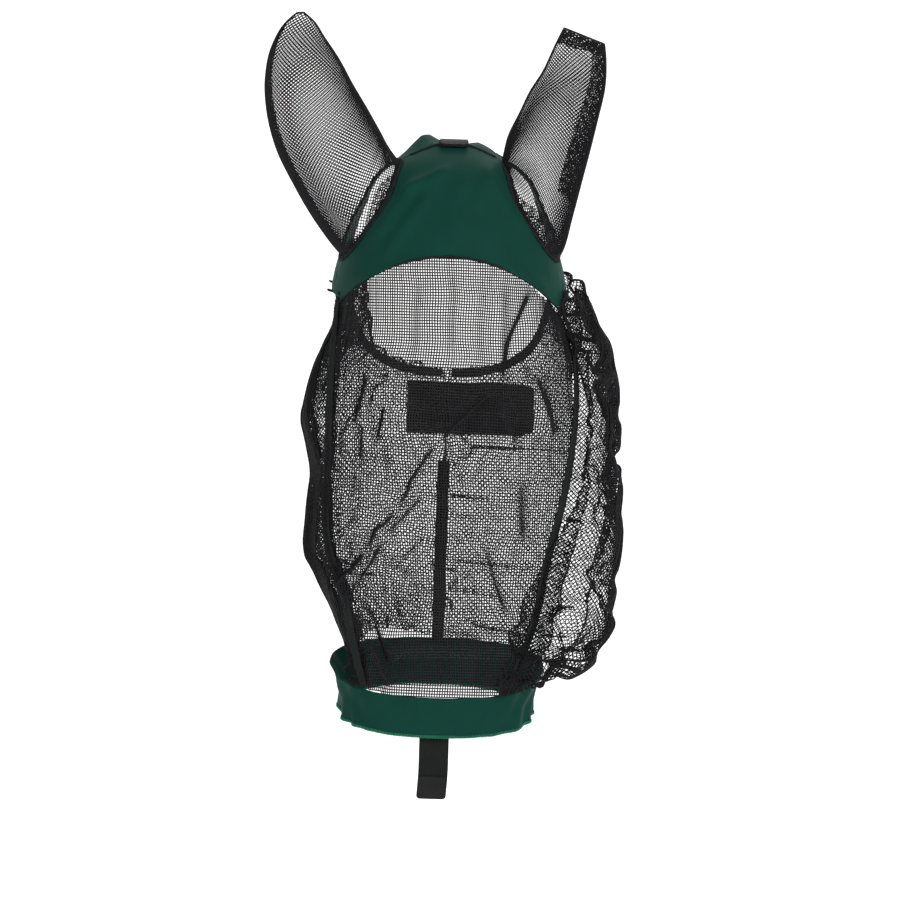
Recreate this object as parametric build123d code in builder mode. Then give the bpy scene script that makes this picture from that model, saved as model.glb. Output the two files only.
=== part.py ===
"""A horse's fly mask with ears, worn and closed: stretch hood, net face, net cheeks and net ears."""

import os
from math import cos, pi, radians, sin, tan

from build123d import *

os.makedirs("parts", exist_ok=True)

# ---- driving dimensions, in millimetres -------------------------------------------------
# The origin is on the poll, under the crown, where the horse's head carries the mask: +Z up, the
# face towards -Y.

# The worn shape, as rings from the muzzle up to the crown:
# height, half width, front, back, and how much of an outset goes upwards there.
RINGS = [
    (-540.0, 71.0, -96.0, 24.0, 0.0),
    (-500.0, 75.0, -98.0, 32.0, 0.0),
    (-455.0, 84.0, -100.0, 45.0, 0.0),
    (-417.0, 108.0, -102.0, 64.0, 0.0),
    (-350.0, 130.0, -104.0, 94.0, 0.0),
    (-270.0, 135.0, -105.0, 126.0, 0.0),
    (-200.0, 127.0, -105.0, 146.0, 0.0),
    (-137.0, 105.0, -103.0, 154.0, 0.0),
    (-97.0, 97.0, -95.0, 150.0, 0.3),
    (-50.0, 79.0, -76.0, 132.0, 0.6),
    (-14.0, 55.0, -50.0, 102.0, 0.9),
    (1.8, 29.0, -23.0, 66.0, 1.0),
]
RING_SQUARENESS = 2.4
RING_POINTS = 16

PANEL_WALL = 1.8  # every cloth panel, net or stretch jersey
SEAM_GAP = 0.3  # between panels that are sewn edge to edge
LAY_GAP = 0.2  # between a panel and what is sewn on it
TRIM_WALL = 1.4  # seam tapes and bindings

BROW_ARCH_TOP = -97.0  # the net face's upper edge, on the centre line
BROW_ARCH_FOOT = -137.0  # and where it meets the cheeks
# Height, half width, and how squarely the cloth faces forwards there.
FACE_SIDES = [
    (-137.0, 93.0, 0.45),
    (-210.0, 105.0, 0.55),
    (-300.0, 101.0, 0.75),
    (-385.0, 82.0, 0.85),
    (-462.0, 60.0, 0.9),
]
FACE_REACH = 18.0  # how far back an edge of the face can lie
FACE_TAPE = 10.0
BROW_TAPE = 3.0

FRONT_LINE = -98.0  # y of the face down its middle
NOSE_BAND_FRONT = -502.0  # lower edge of the nose band, on the centre line
NOSE_BAND_HEIGHT = 34.0
NOSE_BAND_RISE = 16.0  # degrees, rising towards the jaw
NOSE_EDGE = 2.2

NECK_TOP = (30.0, 1.8)  # y and z of the neck's edge behind the poll
NECK_FOOT = (146.0, -176.0)  # and at the throat
NECK_BINDING = 9.0

THROAT_SLIT_LENGTH = 88.0
THROAT_SLIT_GAP = 4.0
THROAT_TAB_HEIGHT = 46.0
THROAT_TAB_LENGTH = 92.0
THROAT_TAB_BELOW = 46.0  # its middle, below the throat end of the neck's edge
THROAT_BASE_LENGTH = 14.0
THROAT_BASE_FROM_SLIT = 20.0
THROAT_HOOK_LENGTH = 38.0
JAW_TAPE = 12.0

TAPE_WALL = 1.2  # hook tape and loop tape
STRAP_WIDTH = 25.0
STRAP_WALL = 1.6
STRAP_CORNER = 2.5
PIVOT_GAP = 0.3  # between a sewn end and the free part that folds from it
NOSE_STRAP_DROP = 47.0
NOSE_ANCHOR_LENGTH = 26.0  # up behind the band
NOSE_ANCHOR_TAIL = 7.0  # below the band
HOOK_PATCH_LENGTH = 20.0
POLL_STRAP_LENGTH = 36.0
POLL_ANCHOR_LENGTH = 12.0
POLL_ANCHOR_BACK = 16.0  # y of its end next to the neck's edge
POLL_STRAP_LIFT = 1.8  # the free part lies over the crown seam

EAR_Y = -20.0  # the plane that both ears stand in
EAR_WALL = 1.6
EAR_COLLAR = 24.0  # how far the sewn-down base of an ear stands up from its seat
EAR_HOLE_INSET = 4.0  # the hood runs this far inside an ear's wall
EAR_SEAM = 6.0  # width of the binding round an ear's foot
EAR_EDGE = 3.0  # how far the seam between an ear's two nets stands out
EAR_EDGE_WALL = 1.6
EAR_SINK = 70.0  # carries an ear's shape down into the hood to trim it there
CROWN_SEAM = 4.0
# Each ear's sections from its seat to its tip: centre x and z, the seat's direction in degrees, half
# width and half depth. The right ear is folded over near its tip.
LEFT_EAR = [
    (-67.0, -57.0, 57.0, 46.0, 33.0),
    (-82.0, -36.0, 47.0, 44.0, 29.0),
    (-95.0, -12.0, 36.0, 43.0, 24.0),
    (-107.0, 13.0, 27.0, 42.0, 19.0),
    (-117.0, 39.0, 20.0, 38.0, 15.0),
    (-124.0, 64.0, 15.0, 32.0, 11.0),
    (-128.0, 87.0, 10.0, 22.0, 8.0),
    (-128.5, 104.0, 8.0, 12.0, 5.0),
    (-127.0, 112.0, 4.0, 5.0, 3.0),
]
RIGHT_EAR = [
    (68.0, -53.0, -53.0, 44.0, 33.0),
    (76.0, -31.0, -42.0, 40.0, 29.0),
    (83.0, -9.0, -34.0, 37.5, 24.0),
    (93.0, 16.0, -28.0, 34.0, 19.0),
    (101.0, 39.0, -21.0, 31.0, 15.0),
    (109.0, 62.0, -13.0, 27.0, 11.0),
    (114.0, 85.0, -14.0, 21.0, 8.0),
    (116.5, 96.0, -20.0, 16.5, 5.0),
]

FAR = 700.0


def ring(half_width, front, back):
    """Points round one ring of the worn shape."""
    middle = (front + back) / 2
    half_depth = (back - front) / 2
    power = 2 / RING_SQUARENESS
    points = []
    for i in range(RING_POINTS):
        turn = 2 * pi * i / RING_POINTS
        across, along = cos(turn), sin(turn)
        x = half_width * abs(across) ** power * (1 if across > 0 else -1)
        y = half_depth * abs(along) ** power * (1 if along > 0 else -1)
        points.append((x, middle + y))
    return points


def form(outset):
    """The worn shape as a solid, with its surface this far outside the cloth's outer face."""
    with BuildPart() as shape:
        for height, half_width, front, back, upwards in RINGS:
            with BuildSketch(Plane.XY.offset(height + outset * upwards)):
                with BuildLine():
                    Spline(*ring(half_width + outset, front - outset, back + outset), periodic=True)
                make_face()
        loft()
    return shape.part


def layer(inner, outer):
    """A skin of the worn shape between two outsets."""
    with BuildPart() as skin:
        add(form(outer))
        add(form(inner), mode=Mode.SUBTRACT)
    return skin.part


def band_between(low, high):
    """Everything between two heights on the front centre line, both rising towards the jaw."""
    rise = FAR * tan(radians(NOSE_BAND_RISE))
    with BuildPart() as block:
        with BuildSketch(Plane.YZ):
            Polygon(
                (FRONT_LINE - FAR, low - rise),
                (FRONT_LINE + FAR, low + rise),
                (FRONT_LINE + FAR, high + rise),
                (FRONT_LINE - FAR, high - rise),
                align=None,
            )
        extrude(amount=FAR, both=True)
    return block.part


def face_outline(margin, arch_margin=None):
    """The net face as seen from the front, grown sideways and upwards by the two margins."""
    up = margin if arch_margin is None else arch_margin
    sides = [(half + margin * square, height) for height, half, square in FACE_SIDES]
    sides[0] = (sides[0][0], sides[0][1] + up)
    foot_x, foot_z = sides[-1]
    with BuildPart() as block:
        with BuildSketch(Plane.XZ.offset(-FACE_REACH)):
            with BuildLine():
                Spline(*sides)
                Line((foot_x, foot_z), (foot_x - 20, -FAR))
                Line((foot_x - 20, -FAR), (20 - foot_x, -FAR))
                Line((20 - foot_x, -FAR), (-foot_x, foot_z))
                Spline(*[(-x, z) for x, z in reversed(sides)])
                ThreePointArc((-sides[0][0], sides[0][1]), (0, BROW_ARCH_TOP + up), sides[0])
            make_face()
        extrude(amount=FAR)
    return block.part


def above_cheeks(drop):
    """Everything above the seam between the hood and the cheeks, lowered by the drop."""
    with BuildPart() as block:
        with BuildSketch(Plane.YZ):
            with BuildLine():
                Spline(
                    (-160, BROW_ARCH_FOOT - drop),
                    (-60, BROW_ARCH_FOOT + 3 - drop),
                    (20, BROW_ARCH_FOOT + 20 - drop),
                    (100, BROW_ARCH_FOOT + 44 - drop),
                )
                Polyline(
                    (100, BROW_ARCH_FOOT + 44 - drop),
                    (FAR, BROW_ARCH_FOOT + 160 - drop),
                    (FAR, FAR),
                    (-160, FAR),
                    (-160, BROW_ARCH_FOOT - drop),
                )
            make_face()
        extrude(amount=FAR, both=True)
    return block.part


def behind_neck(shift):
    """Everything behind the neck's edge, with the edge moved this far towards the face."""
    along = Vector(0, NECK_FOOT[0] - NECK_TOP[0], NECK_FOOT[1] - NECK_TOP[1]).normalized()
    inward = Vector(0, along.Z, -along.Y)
    if inward.Y > 0:
        inward = -inward
    start = Vector(0, *NECK_TOP) + inward * shift - along * FAR
    end = Vector(0, *NECK_TOP) + inward * shift + along * FAR
    far = -inward * FAR
    with BuildPart() as block:
        with BuildSketch(Plane.YZ):
            Polygon(
                (start.Y, start.Z),
                (end.Y, end.Z),
                (end.Y + far.Y, end.Z + far.Z),
                (start.Y + far.Y, start.Z + far.Z),
                align=None,
            )
        extrude(amount=FAR, both=True)
    return block.part


def block_between(low, high):
    """A plain block between two corners."""
    size = [b - a for a, b in zip(low, high)]
    middle = [(a + b) / 2 for a, b in zip(low, high)]
    with BuildPart() as block:
        with Locations(tuple(middle)):
            Box(*size)
    return block.part


def ear_plane(section):
    """The workplane across one section of an ear."""
    x, z, direction = section[:3]
    turn = radians(direction)
    return Plane(origin=(x, EAR_Y, z), x_dir=(cos(turn), 0, sin(turn)), z_dir=(-sin(turn), 0, cos(turn)))


def ear_solid(sections, outset):
    """One ear's shape with its surface this far out, carried down into the hood."""
    seat = sections[0]
    with BuildPart() as shape:
        with BuildSketch(ear_plane(seat)):
            Ellipse(seat[3] + outset, seat[4] + outset)
        extrude(amount=-EAR_SINK)
        for section in sections[:-1]:
            with BuildSketch(ear_plane(section)):
                Ellipse(section[3] + outset, section[4] + outset)
        tip = sections[-1]
        with BuildSketch(ear_plane(tip).offset(outset)):
            Ellipse(tip[3] + outset, tip[4] + outset)
        loft()
    return shape.part


def ear_reach(sections, low, high):
    """Everything between two heights above an ear's seat, along the ear's own direction there."""
    with BuildPart() as block:
        with BuildSketch(ear_plane(sections[0]).offset(low)):
            Rectangle(FAR, FAR)
        extrude(amount=high - low)
    return block.part


def slab(low, high):
    """Everything between two depths, from front to back."""
    return block_between((-FAR, low, -FAR), (FAR, high, FAR))


# ---- the cloth that lies on the head ----------------------------------------------------
# The panels are cut from one skin, so each one meets its neighbours along their seams.

cloth = layer(-PANEL_WALL, 0.0)
trim = layer(LAY_GAP, LAY_GAP + TRIM_WALL)
left_half = block_between((-FAR, -FAR, -FAR), (-SEAM_GAP / 2, FAR, FAR))
right_half = block_between((SEAM_GAP / 2, -FAR, -FAR), (FAR, FAR, FAR))
hood_reach = above_cheeks(0.0)
hood_and_seam = above_cheeks(SEAM_GAP)
face = face_outline(0.0)
face_and_seam = face_outline(SEAM_GAP)
neck_opening = behind_neck(0.0)
band_top = NOSE_BAND_FRONT + NOSE_BAND_HEIGHT
above_band = band_between(band_top + SEAM_GAP, FAR)
slit_foot = NECK_FOOT[1] - THROAT_SLIT_LENGTH
throat_slit = block_between(
    (-THROAT_SLIT_GAP / 2, NECK_TOP[0], slit_foot),
    (THROAT_SLIT_GAP / 2, FAR, FAR),
)
left_ear_shape = ear_solid(LEFT_EAR, 0.0)
right_ear_shape = ear_solid(RIGHT_EAR, 0.0)
left_ear_hole = ear_solid(LEFT_EAR[:4], -EAR_HOLE_INSET)
right_ear_hole = ear_solid(RIGHT_EAR[:4], -EAR_HOLE_INSET)

# Stretch jersey from the brow to the crown, in front of the ears.
with BuildPart() as brow_panel:
    add(cloth)
    add(hood_reach, mode=Mode.INTERSECT)
    add(slab(-FAR, EAR_Y), mode=Mode.INTERSECT)
    add(face_and_seam, mode=Mode.SUBTRACT)
    add(left_ear_hole, mode=Mode.SUBTRACT)
    add(right_ear_hole, mode=Mode.SUBTRACT)
brow_panel.part.label = "brow_panel"
export_step(brow_panel.part, "parts/brow_panel.step")

# The same jersey from the crown to the neck's edge, behind the ears.
with BuildPart() as poll_panel:
    add(cloth)
    add(hood_reach, mode=Mode.INTERSECT)
    add(slab(EAR_Y + SEAM_GAP, FAR), mode=Mode.INTERSECT)
    add(neck_opening, mode=Mode.SUBTRACT)
    add(left_ear_hole, mode=Mode.SUBTRACT)
    add(right_ear_hole, mode=Mode.SUBTRACT)
poll_panel.part.label = "poll_panel"
export_step(poll_panel.part, "parts/poll_panel.step")

# Stiffer square net over the eyes and the nose.
with BuildPart() as face_panel:
    add(cloth)
    add(face, mode=Mode.INTERSECT)
    add(above_band, mode=Mode.INTERSECT)
face_panel.part.label = "face_panel"
export_step(face_panel.part, "parts/face_panel.step")

# Soft knitted net over each cheek, round to the seam under the jaw.
with BuildPart() as cheek_left:
    add(cloth)
    add(above_band, mode=Mode.INTERSECT)
    add(left_half, mode=Mode.INTERSECT)
    add(hood_and_seam, mode=Mode.SUBTRACT)
    add(face_and_seam, mode=Mode.SUBTRACT)
    add(neck_opening, mode=Mode.SUBTRACT)
    add(throat_slit, mode=Mode.SUBTRACT)
cheek_left.part.label = "cheek_left"
export_step(cheek_left.part, "parts/cheek_left.step")

with BuildPart() as cheek_right:
    add(cloth)
    add(above_band, mode=Mode.INTERSECT)
    add(right_half, mode=Mode.INTERSECT)
    add(hood_and_seam, mode=Mode.SUBTRACT)
    add(face_and_seam, mode=Mode.SUBTRACT)
    add(neck_opening, mode=Mode.SUBTRACT)
    add(throat_slit, mode=Mode.SUBTRACT)
cheek_right.part.label = "cheek_right"
export_step(cheek_right.part, "parts/cheek_right.step")

# Jersey band round the nose, with an overlocked lower edge.
with BuildPart() as nose_band:
    add(cloth)
    add(band_between(NOSE_BAND_FRONT, band_top), mode=Mode.INTERSECT)
nose_band.part.label = "nose_band"
export_step(nose_band.part, "parts/nose_band.step")

with BuildPart() as nose_band_hem:
    add(cloth)
    add(band_between(NOSE_BAND_FRONT - NOSE_EDGE, NOSE_BAND_FRONT), mode=Mode.INTERSECT)
nose_band_hem.part.label = "nose_band_hem"
export_step(nose_band_hem.part, "parts/nose_band_hem.step")

# ---- tapes and bindings sewn over the seams ---------------------------------------------

# Tape down each side of the face, over the seam with the cheek.
face_tape_reach = face_outline(FACE_TAPE / 2)
inside_face_tape = face_outline(-FACE_TAPE / 2)

with BuildPart() as face_tape_left:
    add(trim)
    add(face_tape_reach, mode=Mode.INTERSECT)
    add(above_band, mode=Mode.INTERSECT)
    add(left_half, mode=Mode.INTERSECT)
    add(inside_face_tape, mode=Mode.SUBTRACT)
    add(hood_and_seam, mode=Mode.SUBTRACT)
face_tape_left.part.label = "face_tape_left"
export_step(face_tape_left.part, "parts/face_tape_left.step")

with BuildPart() as face_tape_right:
    add(trim)
    add(face_tape_reach, mode=Mode.INTERSECT)
    add(above_band, mode=Mode.INTERSECT)
    add(right_half, mode=Mode.INTERSECT)
    add(inside_face_tape, mode=Mode.SUBTRACT)
    add(hood_and_seam, mode=Mode.SUBTRACT)
face_tape_right.part.label = "face_tape_right"
export_step(face_tape_right.part, "parts/face_tape_right.step")

# Narrow seam along the brow's arch.
with BuildPart() as brow_seam:
    add(trim)
    add(face_outline(0.0, BROW_TAPE), mode=Mode.INTERSECT)
    add(hood_reach, mode=Mode.INTERSECT)
    add(face_outline(FACE_TAPE, 0.0), mode=Mode.SUBTRACT)
brow_seam.part.label = "brow_seam"
export_step(brow_seam.part, "parts/brow_seam.step")

# Overlocked seam over the crown, between the two ears.
with BuildPart() as crown_seam:
    add(trim)
    add(slab(EAR_Y - CROWN_SEAM / 2, EAR_Y + CROWN_SEAM / 2), mode=Mode.INTERSECT)
    add(
        block_between((LEFT_EAR[0][0], -FAR, RIGHT_EAR[0][1]), (RIGHT_EAR[0][0], FAR, FAR)),
        mode=Mode.INTERSECT,
    )
    add(ear_solid(LEFT_EAR, EAR_SEAM + SEAM_GAP), mode=Mode.SUBTRACT)
    add(ear_solid(RIGHT_EAR, EAR_SEAM + SEAM_GAP), mode=Mode.SUBTRACT)
crown_seam.part.label = "crown_seam"
export_step(crown_seam.part, "parts/crown_seam.step")

# Elastic binding round the neck's edge, open at the throat.
with BuildPart() as neck_binding:
    add(trim)
    add(behind_neck(NECK_BINDING), mode=Mode.INTERSECT)
    add(neck_opening, mode=Mode.SUBTRACT)
    add(throat_slit, mode=Mode.SUBTRACT)
neck_binding.part.label = "neck_binding"
export_step(neck_binding.part, "parts/neck_binding.step")

# Tape over the seam under the jaw.
with BuildPart() as jaw_tape:
    add(trim)
    add(above_band, mode=Mode.INTERSECT)
    add(
        block_between((-JAW_TAPE / 2, FACE_REACH, -FAR), (JAW_TAPE / 2, FAR, slit_foot - SEAM_GAP)),
        mode=Mode.INTERSECT,
    )
jaw_tape.part.label = "jaw_tape"
export_step(jaw_tape.part, "parts/jaw_tape.step")

# ---- the ears ---------------------------------------------------------------------------
# Each ear is a pocket of square net. Its base is sewn to the hood; above it, the front net and the
# back net bend back together over the base's rear edge.

on_hood = form(LAY_GAP)
on_seam = form(LAY_GAP + TRIM_WALL + LAY_GAP)
ear_front = slab(-FAR, EAR_Y - SEAM_GAP / 2)
ear_back = slab(EAR_Y + SEAM_GAP / 2, FAR)
ear_edge = slab(EAR_Y - EAR_EDGE_WALL / 2, EAR_Y + EAR_EDGE_WALL / 2)

left_ear_hollow = ear_solid(LEFT_EAR, -EAR_WALL)
left_base_reach = ear_reach(LEFT_EAR, -EAR_SINK, EAR_COLLAR)
left_free_reach = ear_reach(LEFT_EAR, EAR_COLLAR + PIVOT_GAP, FAR)

with BuildPart() as ear_left_base:
    add(left_ear_shape)
    add(left_base_reach, mode=Mode.INTERSECT)
    add(left_ear_hollow, mode=Mode.SUBTRACT)
    add(on_hood, mode=Mode.SUBTRACT)
ear_left_base.part.label = "ear_left_base"
export_step(ear_left_base.part, "parts/ear_left_base.step")

with BuildPart() as ear_left_front:
    add(left_ear_shape)
    add(left_free_reach, mode=Mode.INTERSECT)
    add(ear_front, mode=Mode.INTERSECT)
    add(left_ear_hollow, mode=Mode.SUBTRACT)
ear_left_front.part.label = "ear_left_front"
export_step(ear_left_front.part, "parts/ear_left_front.step")

with BuildPart() as ear_left_back:
    add(left_ear_shape)
    add(left_free_reach, mode=Mode.INTERSECT)
    add(ear_back, mode=Mode.INTERSECT)
    add(left_ear_hollow, mode=Mode.SUBTRACT)
ear_left_back.part.label = "ear_left_back"
export_step(ear_left_back.part, "parts/ear_left_back.step")

with BuildPart() as ear_left_edge:
    add(ear_solid(LEFT_EAR, LAY_GAP + EAR_EDGE))
    add(left_free_reach, mode=Mode.INTERSECT)
    add(ear_edge, mode=Mode.INTERSECT)
    add(ear_solid(LEFT_EAR, LAY_GAP), mode=Mode.SUBTRACT)
ear_left_edge.part.label = "ear_left_edge"
export_step(ear_left_edge.part, "parts/ear_left_edge.step")

with BuildPart() as ear_left_seam:
    add(trim)
    add(ear_solid(LEFT_EAR, EAR_SEAM), mode=Mode.INTERSECT)
    add(ear_solid(LEFT_EAR, SEAM_GAP), mode=Mode.SUBTRACT)
ear_left_seam.part.label = "ear_left_seam"
export_step(ear_left_seam.part, "parts/ear_left_seam.step")

right_ear_hollow = ear_solid(RIGHT_EAR, -EAR_WALL)
right_base_reach = ear_reach(RIGHT_EAR, -EAR_SINK, EAR_COLLAR)
right_free_reach = ear_reach(RIGHT_EAR, EAR_COLLAR + PIVOT_GAP, FAR)

with BuildPart() as ear_right_base:
    add(right_ear_shape)
    add(right_base_reach, mode=Mode.INTERSECT)
    add(right_ear_hollow, mode=Mode.SUBTRACT)
    add(on_hood, mode=Mode.SUBTRACT)
ear_right_base.part.label = "ear_right_base"
export_step(ear_right_base.part, "parts/ear_right_base.step")

with BuildPart() as ear_right_front:
    add(right_ear_shape)
    add(right_free_reach, mode=Mode.INTERSECT)
    add(ear_front, mode=Mode.INTERSECT)
    add(right_ear_hollow, mode=Mode.SUBTRACT)
ear_right_front.part.label = "ear_right_front"
export_step(ear_right_front.part, "parts/ear_right_front.step")

with BuildPart() as ear_right_back:
    add(right_ear_shape)
    add(right_free_reach, mode=Mode.INTERSECT)
    add(ear_back, mode=Mode.INTERSECT)
    add(right_ear_hollow, mode=Mode.SUBTRACT)
ear_right_back.part.label = "ear_right_back"
export_step(ear_right_back.part, "parts/ear_right_back.step")

with BuildPart() as ear_right_edge:
    add(ear_solid(RIGHT_EAR, LAY_GAP + EAR_EDGE))
    add(right_free_reach, mode=Mode.INTERSECT)
    add(ear_edge, mode=Mode.INTERSECT)
    add(ear_solid(RIGHT_EAR, LAY_GAP), mode=Mode.SUBTRACT)
ear_right_edge.part.label = "ear_right_edge"
export_step(ear_right_edge.part, "parts/ear_right_edge.step")

with BuildPart() as ear_right_seam:
    add(trim)
    add(ear_solid(RIGHT_EAR, EAR_SEAM), mode=Mode.INTERSECT)
    add(ear_solid(RIGHT_EAR, SEAM_GAP), mode=Mode.SUBTRACT)
ear_right_seam.part.label = "ear_right_seam"
export_step(ear_right_seam.part, "parts/ear_right_seam.step")

# ---- the nose strap ---------------------------------------------------------------------
# Sewn to the inside of the nose band; the free end hangs below it and folds up in front.

inside_band = layer(-PANEL_WALL - LAY_GAP - STRAP_WALL, -PANEL_WALL - LAY_GAP)
anchor_foot = NOSE_BAND_FRONT - NOSE_EDGE - NOSE_ANCHOR_TAIL
strap_top = anchor_foot - PIVOT_GAP
strap_foot = strap_top - NOSE_STRAP_DROP
strap_front = FRONT_LINE + 2.6

with BuildPart() as nose_strap_anchor:
    add(inside_band)
    add(
        block_between(
            (-STRAP_WIDTH / 2, -FAR, anchor_foot),
            (STRAP_WIDTH / 2, FRONT_LINE / 2, NOSE_BAND_FRONT + NOSE_ANCHOR_LENGTH),
        ),
        mode=Mode.INTERSECT,
    )
nose_strap_anchor.part.label = "nose_strap_anchor"
export_step(nose_strap_anchor.part, "parts/nose_strap_anchor.step")

with BuildPart() as nose_strap:
    with BuildSketch(Plane.XZ.offset(-strap_front)):
        with Locations((0, (strap_top + strap_foot) / 2)):
            RectangleRounded(STRAP_WIDTH, strap_top - strap_foot, STRAP_CORNER)
    extrude(amount=-STRAP_WALL)
nose_strap.part.label = "nose_strap"
export_step(nose_strap.part, "parts/nose_strap.step")

with BuildPart() as nose_strap_hook:
    with BuildSketch(Plane.XZ.offset(-strap_front)):
        with Locations((0, strap_foot + HOOK_PATCH_LENGTH / 2 + LAY_GAP)):
            RectangleRounded(STRAP_WIDTH - 2 * LAY_GAP, HOOK_PATCH_LENGTH, STRAP_CORNER)
    extrude(amount=TAPE_WALL)
nose_strap_hook.part.label = "nose_strap_hook"
export_step(nose_strap_hook.part, "parts/nose_strap_hook.step")

# ---- the poll strap ---------------------------------------------------------------------
# Sewn on behind the crown; its free end lies forwards over the crown and lifts.

crown_top = RINGS[-1][0] + LAY_GAP
poll_pivot = POLL_ANCHOR_BACK - POLL_ANCHOR_LENGTH

with BuildPart() as poll_strap_anchor:
    with BuildSketch(Plane.XY.offset(crown_top)):
        with Locations((0, POLL_ANCHOR_BACK - POLL_ANCHOR_LENGTH / 2)):
            Rectangle(STRAP_WIDTH, POLL_ANCHOR_LENGTH)
    extrude(amount=POLL_STRAP_LIFT + STRAP_WALL)
poll_strap_anchor.part.label = "poll_strap_anchor"
export_step(poll_strap_anchor.part, "parts/poll_strap_anchor.step")

with BuildPart() as poll_strap:
    with BuildSketch(Plane.XY.offset(crown_top + POLL_STRAP_LIFT)):
        with Locations((0, poll_pivot - PIVOT_GAP - POLL_STRAP_LENGTH / 2)):
            RectangleRounded(STRAP_WIDTH, POLL_STRAP_LENGTH, STRAP_CORNER)
    extrude(amount=STRAP_WALL)
poll_strap.part.label = "poll_strap"
export_step(poll_strap.part, "parts/poll_strap.step")

with BuildPart() as poll_strap_hook:
    with BuildSketch(Plane.XY.offset(crown_top + POLL_STRAP_LIFT + STRAP_WALL)):
        with Locations((0, poll_pivot - PIVOT_GAP - POLL_STRAP_LENGTH + HOOK_PATCH_LENGTH / 2 + LAY_GAP)):
            RectangleRounded(STRAP_WIDTH - 2 * LAY_GAP, HOOK_PATCH_LENGTH, STRAP_CORNER)
    extrude(amount=TAPE_WALL)
poll_strap_hook.part.label = "poll_strap_hook"
export_step(poll_strap_hook.part, "parts/poll_strap_hook.step")

# ---- the throat fastening ---------------------------------------------------------------
# A wide tab crosses the slit at the throat: sewn on the left, hook tape under its free end, loop tape
# on the right cheek.

loop_outset = LAY_GAP + TAPE_WALL
hook_outset = loop_outset + PIVOT_GAP + TAPE_WALL
tab_outset = hook_outset + LAY_GAP + STRAP_WALL
tab_middle = NECK_FOOT[1] - THROAT_TAB_BELOW
tab_low = tab_middle - THROAT_TAB_HEIGHT / 2
tab_high = tab_middle + THROAT_TAB_HEIGHT / 2
tab_start = -THROAT_BASE_FROM_SLIT
tab_end = tab_start + THROAT_TAB_LENGTH
tab_skin = layer(hook_outset + LAY_GAP, tab_outset)
hook_skin = layer(loop_outset + PIVOT_GAP, hook_outset)
loop_skin = layer(LAY_GAP, loop_outset)
base_skin = layer(LAY_GAP, tab_outset)

with BuildPart() as throat_tab_base:
    add(base_skin)
    add(
        block_between(
            (tab_start - THROAT_BASE_LENGTH, NECK_TOP[0], tab_low),
            (tab_start, FAR, tab_high),
        ),
        mode=Mode.INTERSECT,
    )
throat_tab_base.part.label = "throat_tab_base"
export_step(throat_tab_base.part, "parts/throat_tab_base.step")

with BuildPart() as throat_tab:
    add(tab_skin)
    add(
        block_between((tab_start + PIVOT_GAP, NECK_TOP[0], tab_low), (tab_end, FAR, tab_high)),
        mode=Mode.INTERSECT,
    )
throat_tab.part.label = "throat_tab"
export_step(throat_tab.part, "parts/throat_tab.step")

with BuildPart() as throat_tab_hook:
    add(hook_skin)
    add(
        block_between(
            (tab_end - THROAT_HOOK_LENGTH, NECK_TOP[0], tab_low + 2),
            (tab_end - 2, FAR, tab_high - 2),
        ),
        mode=Mode.INTERSECT,
    )
throat_tab_hook.part.label = "throat_tab_hook"
export_step(throat_tab_hook.part, "parts/throat_tab_hook.step")

with BuildPart() as throat_loop:
    add(loop_skin)
    add(
        block_between(
            (tab_end - THROAT_HOOK_LENGTH - 12, NECK_TOP[0], tab_low + 2),
            (tab_end + 6, FAR, tab_high - 2),
        ),
        mode=Mode.INTERSECT,
    )
throat_loop.part.label = "throat_loop"
export_step(throat_loop.part, "parts/throat_loop.step")
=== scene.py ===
"""A horse's fly mask with ears, as worn: net face and cheeks, stretch jersey hood and nose band."""

import math

import bmesh
import bpy
import numpy as np
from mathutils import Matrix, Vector


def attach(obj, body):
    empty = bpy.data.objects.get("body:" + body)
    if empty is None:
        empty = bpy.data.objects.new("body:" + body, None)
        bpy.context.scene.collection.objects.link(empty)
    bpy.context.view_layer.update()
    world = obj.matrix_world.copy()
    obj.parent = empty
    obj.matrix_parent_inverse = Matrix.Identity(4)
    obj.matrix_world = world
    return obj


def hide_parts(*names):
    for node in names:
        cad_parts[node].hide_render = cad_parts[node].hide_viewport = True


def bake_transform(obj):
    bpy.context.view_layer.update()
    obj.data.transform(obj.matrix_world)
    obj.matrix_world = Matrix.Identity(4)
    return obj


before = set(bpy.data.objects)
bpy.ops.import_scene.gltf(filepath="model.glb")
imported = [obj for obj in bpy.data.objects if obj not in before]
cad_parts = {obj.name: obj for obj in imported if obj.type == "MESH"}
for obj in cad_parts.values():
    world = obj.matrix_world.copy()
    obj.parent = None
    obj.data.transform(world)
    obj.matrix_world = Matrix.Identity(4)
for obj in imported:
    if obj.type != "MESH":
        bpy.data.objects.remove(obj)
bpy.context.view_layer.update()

# ---- the brow: dark green stretch jersey ------------------------------------------------
# One piece of jersey from the face net's arch up to the crown, in front of the ears. It is cut to
# the head's shape, stretched over it, and pulled into soft folds where the ears are set in.

HEAD_HEIGHTS = np.array([-540, -500, -455, -417, -350, -270, -200, -137, -97, -50, -14, 1.8]) / 1000
HEAD_RINGS = np.array([
    [71, -96, 24], [75, -98, 32], [84, -100, 45], [108, -102, 64], [130, -104, 94], [135, -105, 126],
    [127, -105, 146], [105, -103, 154], [97, -95, 150], [79, -76, 132], [55, -50, 102], [29, -23, 66],
]) / 1000  # half width, front and back at each height
SQUARENESS = 2.4
EAR_Y = -0.020
CROWN_Z = HEAD_HEIGHTS[-1]
CROWN_DOME = 0.0022
HOOD_LOW = -0.145
ARCH_TOP, ARCH_RADIUS = -0.097, 0.128
NECK_DOWN, NECK_BACK = 0.539, 0.8423  # the neck edge's plane, by the way it faces
NECK_Y = 0.030
EAR_TUCK = 0.003
FOLD_END = 0.25
SURFACE_STEPS = 26


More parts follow.
